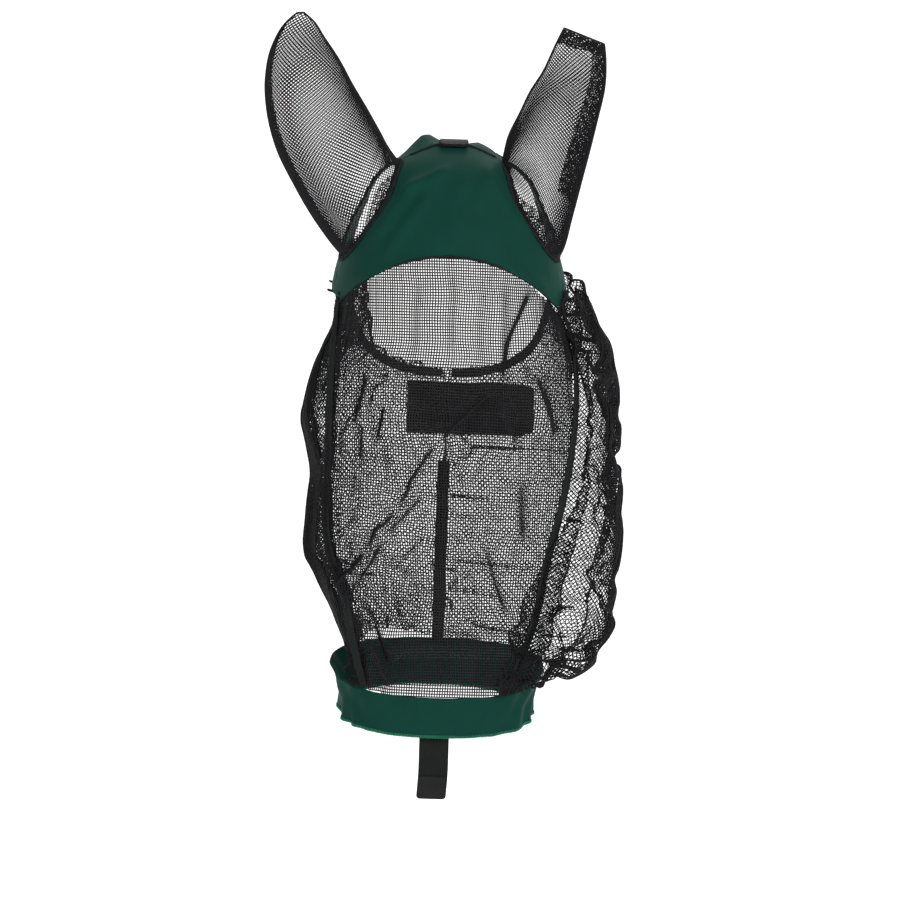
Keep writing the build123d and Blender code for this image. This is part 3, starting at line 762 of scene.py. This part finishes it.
def knitted_lines(side, coarse, levels, shares):
    """Zigzag wales over the draped cloth, each one meeting the next at every other course."""
    fine_levels = np.linspace(levels[0], levels[-1], COURSES)
    down = smooth(fine_levels, levels, np.eye(len(levels)))
    mirrored = np.concatenate([-shares[4:0:-1], shares])
    sheets = []
    for grid in (coarse, cheek_grid(side, levels, shares)):
        grid = np.concatenate([2 * grid[:, :1] - grid[:, 4:0:-1], grid], 1)
        grid = np.einsum("jn,nmk->jmk", down, grid)
        sheets.append([])
        for row, level in zip(grid, fine_levels):
            share, lift = fold_over(side, level, WALES)
            line = smooth(share, mirrored, row)
            sheets[-1].append(line + away_from_head(line) * lift[:, None])
    cloth, flat = np.stack(sheets[0]), np.stack(sheets[1])
    step = np.gradient(cloth, axis=1)
    lean = (-1.0) ** np.add.outer(np.arange(COURSES), np.arange(WALES))
    cloth = cloth + step * (0.44 * lean)[..., None]
    over_brow = 0.008 * np.exp(-((np.arange(WALES) / 26) ** 4)) if side == "right" else 0.0
    keep = (in_cheek(flat, over_brow) > 0) & (above_nose_band(flat) > 0)
    wales = []
    for i in range(WALES):
        wales += [wale for wale in runs(cloth[:, i], keep[:, i]) if len(wale) > LOOSE_END]
    return wales


CHEEK_FULLNESS = {"left": 0.22, "right": 0.20}
CHEEK_OUT = {"left": 0.013, "right": 0.010}
for side in ("left", "right"):
    levels = np.linspace(CHEEK_LOW, CHEEK_HIGH, int((CHEEK_HIGH - CHEEK_LOW) / CHEEK_STEP))
    shares = np.linspace(0, 1, 32)
    cloth = draped(cheek_grid(side, levels, shares, 1.0), CHEEK_FULLNESS[side], CHEEK_OUT[side])
    wales = knitted_lines(side, cloth, levels, shares)
    piece = net_from(f"cheek_{side}_net", wales, KNIT_THREAD, CHEEK_NET)
    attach(piece, "mask")
    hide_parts(f"cheek_{side}")

# ---- the nose band: the same jersey, doubled --------------------------------------------
# A band 34 mm deep round the nose. Its lower edge is overlocked in a lighter green thread while
# stretched, so it ripples, most of all at the sides where the face tapes end.

NOSE_BAND_TURNS = np.linspace(0, 2 * np.pi, 240, endpoint=False)


def nose_band_point(turn, lift, out):
    """Points on the nose band at a lift above its lower edge."""
    z = np.full(turn.shape, NOSE_BAND_LOW) + lift
    for _ in range(12):
        p = head_skin(turn, z, out)
        z = NOSE_BAND_LOW + lift + NOSE_BAND_RISE * (p[..., 1] - NOSE_LINE_Y)
    return head_skin(turn, z, out)


def band_ripple(turn, share):
    """How far the band stands off the nose, from its lower edge at share 0 to its top at share 1."""
    side = np.abs(np.cos(turn)) ** 3
    frill = (1 - share) ** 2.2 * (0.0004 + 0.0016 * side) * np.sin(turn * 19 + 1.6 * np.sin(turn * 5))
    flare = (1 - share) * side * 0.0030
    fold = 0.0009 * np.sin(turn * 9 + 4.0 * share) * np.sin(math.pi * share)
    fold = fold + 0.0006 * np.sin(turn * 17 - 6 * share)
    return 0.0012 + frill + flare + fold


band_rows = []
for share in np.linspace(0, 1, 22):
    flat_band = nose_band_point(NOSE_BAND_TURNS, NOSE_BAND_HEIGHT * share, 0.0)
    band_rows.append(flat_band + away_from_head(flat_band) * band_ripple(NOSE_BAND_TURNS, share)[:, None])
band_rows = np.stack(band_rows)


def sheet_of(name, grid, material, thickness, closed=False):
    """A piece with thickness from rows of points, closed on itself if it goes all the way round."""
    return with_thickness(finished(name, grid_mesh(name, grid, closed), material), thickness, 0.0)


band_piece = sheet_of("nose_band", band_rows, JERSEY, 0.0014, closed=True)
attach(band_piece, "mask")
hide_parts("nose_band")

HEM_THREAD = cloth_material("light green overlock thread", (0.010, 0.10, 0.05), (0.03, 0.22, 0.12), 0.6,
                            2200.0, 0.1)
HEM_PITCH, HEM_DEPTH, HEM_RADIUS = 0.0013, 0.0020, 0.00034
HEM_FACE, HEM_BULGE = 0.0011, 0.0012  # how far the thread stands off the cloth


def at_marks(row, run, marks):
    """The points of a row at given distances along it."""
    return np.stack([np.interp(marks, run, row[:, k]) for k in range(3)], 1)


def overlock(edge, inner):
    """Thread loops laid side by side over an edge: up one face, round the edge and down the other."""
    length = run_along(edge)
    marks = np.arange(0, length[-1], HEM_PITCH)
    on_edge = at_marks(edge, length, marks)
    up = at_marks(inner, length, marks) - on_edge
    up /= np.linalg.norm(up, axis=1, keepdims=True)
    ahead = np.gradient(on_edge, axis=0)
    ahead /= np.linalg.norm(ahead, axis=1, keepdims=True)
    off = np.cross(ahead, up)
    lines = []
    for p, u, a, o in zip(on_edge, up * HEM_DEPTH, ahead * HEM_PITCH, off):
        lines.append(np.array([
            p + u + o * HEM_FACE, p + a * 0.3 + o * HEM_BULGE, p - u * 0.3 + a * 0.5,
            p + a * 0.7 - o * HEM_BULGE, p + u + a - o * HEM_FACE,
        ]))
    return lines


closed_edge = np.concatenate([band_rows[0], band_rows[0][:1]])
closed_inner = np.concatenate([band_rows[2], band_rows[2][:1]])
hem = net_from("nose_band_hem", overlock(closed_edge, closed_inner), HEM_RADIUS, HEM_THREAD, 4)
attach(hem, "mask")
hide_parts("nose_band_hem")

# ---- tapes and bindings -----------------------------------------------------------------
# Black woven tape, doubled over the raw edges: down both sides of the face, round the foot of each
# ear, round the neck and down the jaw. A finer seam runs along the brow and over the crown.

TAPE = cloth_material("black binding tape", (0.004, 0.0045, 0.0045), (0.016, 0.018, 0.018), 0.75, 1100.0, 0.5,
                      slant=0.5)


def tape_rows(path, width, out, closed=False, puckers=0.0):
    """Rows of points across a tape that lies on the head along a path."""
    ahead = np.roll(path, -1, 0) - np.roll(path, 1, 0) if closed else np.gradient(path, axis=0)
    ahead /= np.linalg.norm(ahead, axis=1, keepdims=True)
    normal = away_from_head(path)
    across = np.cross(normal, ahead)
    across /= np.linalg.norm(across, axis=1, keepdims=True)
    rows = []
    for share in np.linspace(-0.5, 0.5, 7):
        start = path + across * (share * width) - normal * 0.012
        row = onto_head(start, normal, out, 0.03)
        wave = np.sin(np.arange(len(path)) * 1.3 + share * 3) * puckers
        crown = (1 - (2 * share) ** 2) * 0.0005
        rows.append(row + normal * (crown + wave)[:, None])
    return np.stack(rows)


def tape_along(name, path, width, out, node, closed=False, puckers=0.0):
    """A tape sewn on the mask along a path, in place of its CAD node."""
    rows = tape_rows(path, width, out, closed, puckers)
    piece = sheet_of(name, rows, TAPE, 0.0011, closed)
    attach(piece, "mask")
    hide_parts(node)
    return rows


STITCH, STITCH_GAP, STITCH_LIFT = 0.0024, 0.0012, 0.0009
NEAR_EDGE = (1, 5)  # the rows of a tape that its stitches follow


def stitch_lines(row):
    """Running stitches along a row of points, each one rising over the cloth."""
    run = run_along(row)
    lines = []
    for start in np.arange(STITCH_GAP, run[-1] - STITCH, STITCH + STITCH_GAP):
        p = at_marks(row, run, start + STITCH * np.array([0, 0.2, 0.8, 1.0]))
        lines.append(p + away_from_head(p) * (np.array([0.0002, 1, 1, 0.0002]) * STITCH_LIFT)[:, None])
    return lines


tape_stitches = []
for side, sign in (("left", -1), ("right", 1)):
    heights = np.linspace(-0.470, -0.128, 120)
    x = np.array([face_side(max(z, FACE_LEVELS[0]), side) for z in heights])
    path = np.stack([x, front_y(x, heights), heights], 1)
    path = path[(above_nose_band(path) > 0.0005) & (path[:, 2] < cheek_top(path[:, 1]) - 0.001)]
    rows = tape_along(f"face_tape_{side}", path, 0.0072, 0.0012, f"face_tape_{side}", puckers=0.00025)
    for k in NEAR_EDGE:
        tape_stitches += stitch_lines(rows[k])

x = np.linspace(-0.094, 0.096, 140)
path = np.stack([x, front_y(x, brow_arch(x)), brow_arch(x) + 0.0004], 1)
tape_along("brow_seam", path, 0.0016, 0.0004, "brow_seam")

x = np.linspace(-0.036, 0.036, 40)
path = onto_head(np.stack([x, np.full(40, EAR_Y), np.full(40, -0.06)], 1), np.array([0, 0, 1.0]))
tape_along("crown_seam", path, 0.0034, 0.0004, "crown_seam")

angle = np.radians(np.linspace(2.0, 358.0, 260))
hub = np.array([0, 0.0823, -0.08]) - np.array([0, NECK_BACK, NECK_DOWN]) * 0.0045
way = np.stack([np.sin(angle), NECK_DOWN * np.cos(angle), -NECK_BACK * np.cos(angle)], 1)
path = onto_head(np.broadcast_to(hub, way.shape), way, 0.0, 0.3)
rows = tape_along("neck_binding", path, 0.0075, 0.0010, "neck_binding", puckers=0.0003)
tape_stitches += stitch_lines(rows[NEAR_EDGE[0]])

heights = np.linspace(-0.432, -0.268, 80)
path = head_skin(np.full(80, math.pi / 2), heights)
rows = tape_along("jaw_tape", path, 0.0105, 0.0010, "jaw_tape", puckers=0.0003)
for k in NEAR_EDGE:
    tape_stitches += stitch_lines(rows[k])

# ---- the ears: pockets of square net, front and back sewn together ----------------------
# The net is cut on the slant. The left ear stands with its seam turned out as a dark edge; the right
# one has its tip and its outer side folded over, which makes it darker there.

EAR_NET = net_material("black ear net", 0.5)
EAR_HOLE = 0.0022
EAR_THREAD = 0.00044
EAR_SLANT = 0.52
EAR_EDGE_RADIUS = 0.0010
SEAT_MARGIN = 0.0025


def ear_shape(side):
    """The ear's sections in metres with its foot carried down into the hood, and their heights."""
    rows = EARS[side].copy()
    turn = math.radians(rows[0, 2])
    foot = []
    for down in (70, 35):
        row = rows[0].copy()
        row[0] += math.sin(turn) * down
        row[1] -= math.cos(turn) * down
        foot.append(row)
    rows = np.vstack([foot, rows])
    gaps = np.hypot(np.diff(rows[:, 0]), np.diff(rows[:, 1]))
    height = (np.concatenate([[0], np.cumsum(gaps)]) - 70) / 1000
    rows[:, [0, 1, 3, 4]] /= 1000
    rows[:, 2] = np.radians(rows[:, 2])
    return height, rows


def ear_skin(side, round_at, height, layer, out=0.0):
    """Points on one ear's front (layer -1) or back (layer 1), measured round it from its middle."""
    heights, rows = ear_shape(side)
    r = smooth(height, heights, rows)
    quarter = math.pi / 2 * np.sqrt((r[..., 3] ** 2 + r[..., 4] ** 2) / 2)
    turn = np.clip(round_at / quarter, -1, 1) * math.pi / 2
    across, depth = r[..., 3] * np.sin(turn), r[..., 4] * np.cos(turn) + out
    dent = 0.0022 * np.sin(height * 60 + across * 35) + 0.0012 * np.sin(height * 130 - across * 70)
    x = r[..., 0] + np.cos(r[..., 2]) * across
    z = r[..., 1] + np.sin(r[..., 2]) * across
    return np.stack([x, EAR_Y + layer * depth + dent * np.cos(turn) ** 2, z], -1), np.abs(round_at / quarter)


def ear_threads(side, layer, slant, hole, out=0.0, where=None):
    """The threads of one net of an ear, both ways, cut to its outline."""
    top = ear_shape(side)[0][-1]
    lines = []
    for turn in (slant, slant + math.pi / 2):
        d, n = np.array([math.cos(turn), math.sin(turn)]), np.array([-math.sin(turn), math.cos(turn)])
        along = np.arange(-0.2, 0.2, hole)
        for offset in np.arange(-0.2, 0.2, hole):
            flat = np.array([0, top / 2]) + d * along[:, None] + n * offset
            if np.abs(flat[:, 0]).min() > 0.07:
                continue
            p, edge = ear_skin(side, flat[:, 0], np.clip(flat[:, 1], -0.07, top), layer, out)
            keep = (edge < 1) & (flat[:, 1] < top) & (flat[:, 1] > -0.06) & (off_head(p, -0.0006) > 0)
            if where is not None:
                keep &= where(flat[:, 0], flat[:, 1], edge)
            lines += runs(p, keep)
    return lines


def bends_with(piece):
    """Bakes an ear piece's placing into its mesh."""
    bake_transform(piece)


EAR_SEAM_SIDE = {"left": -1, "right": 1}
for side in ("left", "right"):
    outer = EAR_SEAM_SIDE[side]
    top = ear_shape(side)[0][-1]
    for layer, title in ((-1, "front"), (1, "back")):
        lines = ear_threads(side, layer, EAR_SLANT * -outer, EAR_HOLE)
        piece = net_from(f"ear_{side}_{title}_net", lines, EAR_THREAD, EAR_NET)
        if layer < 0:
            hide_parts(f"ear_{side}_front", f"ear_{side}_base")
        else:
            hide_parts(f"ear_{side}_back")
        bends_with(piece)

    edge_at = np.linspace(-0.055, top, 90)
    first, _ = ear_skin(side, np.full(90, -1.0), edge_at, 1)
    last, _ = ear_skin(side, np.full(90, 1.0), edge_at, 1)
    tip = first[-1] + (last[-1] - first[-1]) * np.linspace(0.06, 0.94, 16)[:, None]
    rim = np.concatenate([first, tip, last[::-1]])
    rim = rim[off_head(rim, -0.0005) > 0]
    edge = net_from(f"ear_{side}_edge", [rim], EAR_EDGE_RADIUS, TAPE, 6)
    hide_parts(f"ear_{side}_edge")
    bends_with(edge)

    if side == "left":
        allowance = lambda s, h, e: (s * outer > 0) & (e > 0.62)
        fold_lines = ear_threads(side, -1, 0.2, 0.0014, 0.0007, allowance)
        fold_lines += ear_threads(side, 1, -0.3, 0.0015, 0.0007, allowance)
    else:
        folded = lambda s, h, e: ((s * outer > 0) & (e > 0.30) & (h > 0.03)) | (h > top - 0.013)
        fold_lines = ear_threads(side, -1, 0.1, 0.0021, 0.0010, folded)
        fold_lines += ear_threads(side, -1, 0.75, 0.0022, 0.0022, folded)
        fold_lines += ear_threads(side, -1, -0.2, 0.0018, 0.0032, lambda s, h, e: h > top - 0.011)
    gathers = lambda s, h, e: h < 0.004 + 0.005 * np.sin(s * 90)
    fold_lines += ear_threads(side, -1, 0.9, 0.0019, 0.0010, gathers)
    gathers = lambda s, h, e: h < -0.002 + 0.004 * np.sin(s * 130)
    fold_lines += ear_threads(side, -1, 0.2, 0.0021, 0.0020, gathers)
    fold = net_from(f"ear_{side}_fold", fold_lines, EAR_THREAD, EAR_NET)
    bends_with(fold)

    x, z, direction, half, depth = EARS[side][0]
    turn = math.radians(direction)
    angle = np.linspace(0, 2 * np.pi, 120, endpoint=False)
    across = (half / 1000 + SEAT_MARGIN) * np.cos(angle)
    deep = (depth / 1000 + SEAT_MARGIN) * np.sin(angle)
    seat = np.stack([x / 1000 + across * math.cos(turn), EAR_Y + deep, z / 1000 + across * math.sin(turn)], 1)
    up = np.array([-math.sin(turn), 0, math.cos(turn)])
    path = onto_head(seat - up * 0.055, up, 0.0, 0.14)
    tape_along(f"ear_{side}_seam", path, 0.0048, 0.0006, f"ear_{side}_seam", closed=True, puckers=0.0004)

# ---- the straps -------------------------------------------------------------------------
# Black woven tape 25 mm wide with hook tape near the free end. The nose strap is sewn inside the
# nose band and hangs below it; the poll strap is sewn behind the crown and lies over it.

WEBBING = cloth_material("black webbing", (0.005, 0.0055, 0.0055), (0.013, 0.014, 0.014), 0.8, 700.0, 0.6)
HOOK_TAPE = cloth_material("black hook tape", (0.004, 0.004, 0.004), (0.02, 0.02, 0.02), 0.5, 600.0, 1.0,
                           slant=0.8)
STRAP = 0.025
HOOK_WIDTH = STRAP - 0.0012
WEBBING_THICKNESS, HOOK_THICKNESS = 0.0014, 0.0010
STRAP_CORNER = 0.003


def strap_rows(path, width):
    """Rows along a strap with a rounded free end, from a path down its middle."""
    run = run_along(path)
    cut = np.clip(STRAP_CORNER - (run[-1] - run), 0, STRAP_CORNER)
    half = width / 2 - (STRAP_CORNER - np.sqrt(STRAP_CORNER**2 - cut**2))
    shares = np.linspace(-1, 1, 15)
    return path[:, None] + half[:, None, None] * shares[None, :, None] * np.array([1.0, 0, 0])


def along(points, count):
    """Evenly spaced points on a smooth line through a few points."""
    points = np.array(points, float)
    run = run_along(points)
    spaced = np.linspace(0, run[-1], count)
    end = run[-1] - STRAP_CORNER * (1 - np.cos(np.linspace(0, math.pi / 2, 7)))
    spaced = np.sort(np.concatenate([spaced[spaced < run[-1] - STRAP_CORNER], end]))
    return smooth(spaced, run, points)


path = along([(0, -0.0936, -0.478), (0, -0.0934, -0.494), (0, -0.0944, -0.510), (0, -0.0948, -0.530),
              (-0.0012, -0.0946, -0.5540)], 40)
nose_strap = sheet_of("nose_strap", strap_rows(path, STRAP), WEBBING, WEBBING_THICKNESS)
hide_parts("nose_strap", "nose_strap_anchor")
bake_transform(nose_strap)

path = along([(-0.0006, -0.0961, -0.535), (-0.0009, -0.0960, -0.545), (-0.0012, -0.0959, -0.5537)], 16)
nose_hook = sheet_of("nose_strap_hook", strap_rows(path, HOOK_WIDTH), HOOK_TAPE, HOOK_THICKNESS)
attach(nose_hook, "nose_strap")
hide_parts("nose_strap_hook")

path = along([(0, 0.0160, 0.0062), (0, 0.0040, 0.0066), (0, -0.0080, 0.0062), (0, -0.0200, 0.0046),
              (0, -0.0300, 0.0008)], 34)
poll_strap = sheet_of("poll_strap", strap_rows(path, STRAP), WEBBING, WEBBING_THICKNESS)
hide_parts("poll_strap", "poll_strap_anchor")
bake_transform(poll_strap)

path = along([(0, -0.0120, 0.0072), (0, -0.0210, 0.0056), (0, -0.0302, 0.0021)], 16)
poll_hook = sheet_of("poll_strap_hook", strap_rows(path, HOOK_WIDTH), HOOK_TAPE, HOOK_THICKNESS)
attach(poll_hook, "poll_strap")
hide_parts("poll_strap_hook")

# ---- the throat fastening ---------------------------------------------------------------
# A wide webbing tab sewn on the left cheek crosses the slit and closes on loop tape on the right
# cheek. Hook tape is sewn under its free end.

LOOP_TAPE = cloth_material("black loop tape", (0.004, 0.004, 0.004), (0.012, 0.012, 0.012), 0.9, 1500.0, 0.3,
                           0.3)
TAB_LOW, TAB_HIGH = -0.245, -0.199
TAB_INSET, TAB_CORNER = 0.002, 0.004


def back_strip(x_from, x_to, inset, outs):
    """Rows over the back of the head from one x to another, standing off it by outs along the way."""
    low, high = TAB_LOW + inset, TAB_HIGH - inset
    run = np.linspace(x_from, x_to, 60)
    stand = smooth(np.linspace(0, 1, 60), np.linspace(0, 1, len(outs)), outs)
    cut = np.clip(TAB_CORNER - np.abs(x_to - run), 0, TAB_CORNER)
    narrower = TAB_CORNER - np.sqrt(TAB_CORNER**2 - cut**2)
    rows = []
    for share in np.linspace(-1, 1, 17):
        z = (low + high) / 2 + share * ((high - low) / 2 - narrower)
        half, middle, depth = head_ring(z, 0.0)
        y = middle + depth * (1 - (np.abs(run) / half) ** SQUARENESS) ** (1 / SQUARENESS) + stand
        rows.append(np.stack([run, y, z], 1))
    return np.stack(rows)


tab = sheet_of("throat_tab", back_strip(-0.034, 0.072, 0.0, [0.0014, 0.0036, 0.0036, 0.0036]),
               WEBBING, WEBBING_THICKNESS)
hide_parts("throat_tab", "throat_tab_base")
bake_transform(tab)
tab_hook = sheet_of("throat_tab_hook", back_strip(0.034, 0.070, TAB_INSET, [0.0024, 0.0024]),
                    HOOK_TAPE, 0.0009)
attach(tab_hook, "throat_tab")
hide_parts("throat_tab_hook")
loop = sheet_of("throat_loop", back_strip(0.022, 0.078, TAB_INSET, [0.0010, 0.0010]), LOOP_TAPE, 0.0011)
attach(loop, "mask")
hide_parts("throat_loop")

# The tapes are sewn with black thread, in running stitches near each edge.
THREAD = cloth_material("black sewing thread", (0.012, 0.012, 0.013), (0.03, 0.03, 0.032), 0.45, 3000.0, 0.1)
SEWING_RADIUS = 0.00022
sewn = net_from("tape_stitches", tape_stitches, SEWING_RADIUS, THREAD, 4)
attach(sewn, "mask")

# ---- the view ---------------------------------------------------------------------------
# A plain white floor and wall that run into each other, broad soft light from all round, and a
# level camera straight in front of the mask.

FLOOR_Z = -0.62
FLOOR_REACH = 9.0
SWEEP = 2.0
WALL_HEIGHT = 8.0


def backdrop():
    """A floor that curves up into a wall."""
    foot = FLOOR_REACH - SWEEP
    profile = [(-FLOOR_REACH, 0.0), (foot, 0.0)]
    for a in np.linspace(0.1, math.pi / 2, 12):
        profile.append((foot + SWEEP * math.sin(a), SWEEP - SWEEP * math.cos(a)))
    profile.append((FLOOR_REACH, WALL_HEIGHT))
    verts = [(x, y, FLOOR_Z + z) for x in (-FLOOR_REACH, FLOOR_REACH) for y, z in profile]
    n = len(profile)
    mesh = bpy.data.meshes.new("backdrop")
    mesh.from_pydata(verts, [], [(i, i + 1, n + i + 1, n + i) for i in range(n - 1)])
    white, _, shader = blank_material("white backdrop")
    shader.inputs["Base Color"].default_value = (0.9, 0.9, 0.9, 1)
    shader.inputs["Roughness"].default_value = 0.9
    shader.inputs["Emission Color"].default_value = (1, 1, 1, 1)
    shader.inputs["Emission Strength"].default_value = 0.55
    return finished("backdrop", mesh, white)


backdrop()


MIDDLE = (0.0, 0.0, -0.26)


def soft_light(name, place, size, power):
    """A square soft light pointed at the middle of the mask."""
    lamp = bpy.data.lights.new(name, "AREA")
    lamp.shape, lamp.size, lamp.energy = "SQUARE", size, power
    obj = placed(name, lamp)
    obj.location = place
    obj.rotation_euler = (Vector(MIDDLE) - Vector(place)).to_track_quat("-Z", "Y").to_euler()


soft_light("key light", (1.1, -1.9, 0.7), 1.2, 42)
soft_light("fill light", (-1.6, -1.6, 0.2), 1.4, 14)
soft_light("back light", (0.3, 1.0, 1.4), 1.2, 12)

world = bpy.data.worlds.new("white room")
world.use_nodes = True
world.node_tree.nodes["Background"].inputs["Color"].default_value = (1, 1, 1, 1)
world.node_tree.nodes["Background"].inputs["Strength"].default_value = 0.6
bpy.context.scene.world = world
bpy.context.scene.view_settings.view_transform = "Standard"

CAMERA_DISTANCE = 5.0
CAMERA_ROLL = math.radians(-1.9)
lens = bpy.data.cameras.new("camera")
lens.lens, lens.sensor_width = 234.8, 36
camera = placed("camera", lens)
camera.location = (0.0053, NOSE_LINE_Y - CAMERA_DISTANCE + 0.05, -0.2578)
camera.rotation_euler = (math.pi / 2, CAMERA_ROLL, 0)
bpy.context.scene.camera = camera
